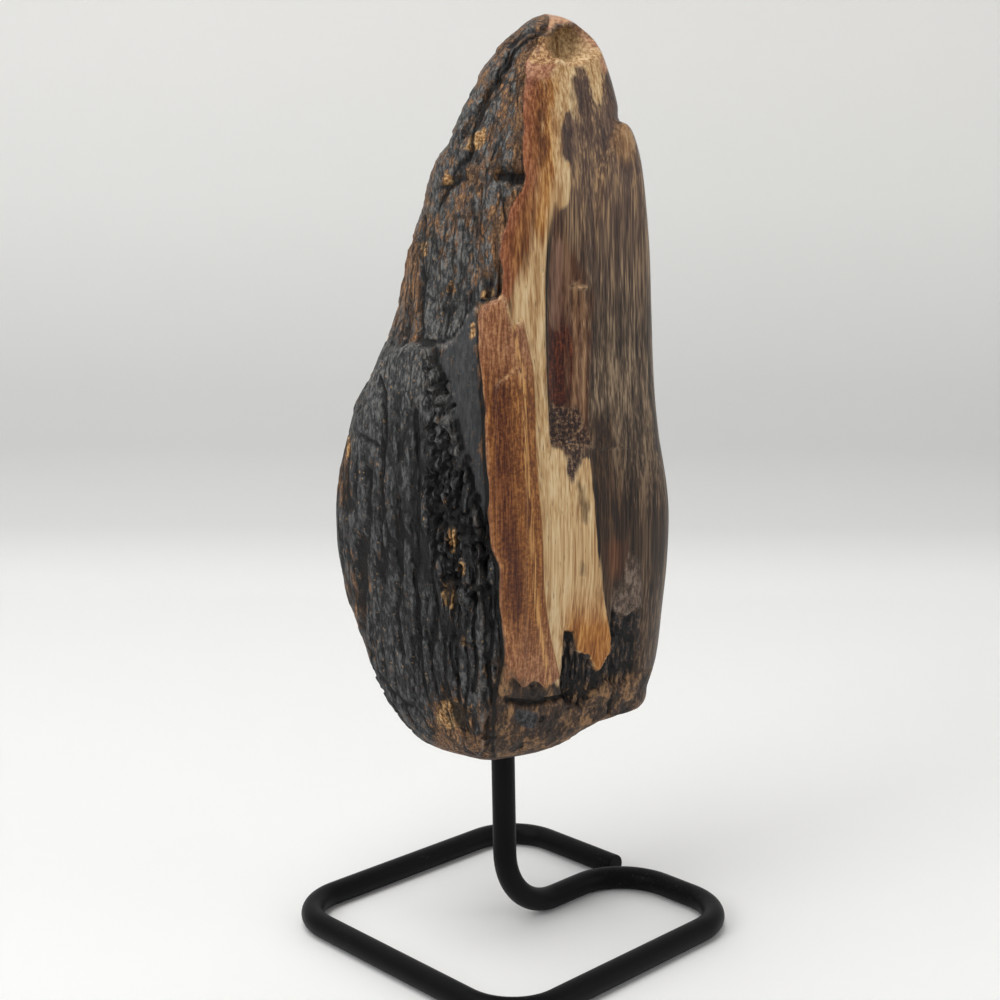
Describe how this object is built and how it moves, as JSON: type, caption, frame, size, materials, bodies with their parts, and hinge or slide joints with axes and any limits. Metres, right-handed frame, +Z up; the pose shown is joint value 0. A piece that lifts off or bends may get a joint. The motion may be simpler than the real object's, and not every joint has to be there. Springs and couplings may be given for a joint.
{
  "type": "petrified wood specimen on a rod stand",
  "caption": "Upright piece of petrified wood with dark bark on one side and polished wood grain on the other, held up by a stand bent from one round rod.",
  "frame": {"origin": "centre of the square base, on the surface it stands on", "axes": "+Z up; X and Y along the sides of the base. The rod's inward run comes in from the +X side. -Y faces the polished wood and -X faces the bark."},
  "size_m": [0.1174, 0.1174, 0.305],
  "materials": {
    "stone": "polished wood grain on the front right, rough charcoal bark on the left",
    "stand": "satin black coating on steel rod"
  },
  "bodies": {
    "root": {"petrified_wood": "stone", "rod_stand": "stand"}
  },
  "joints": []
}
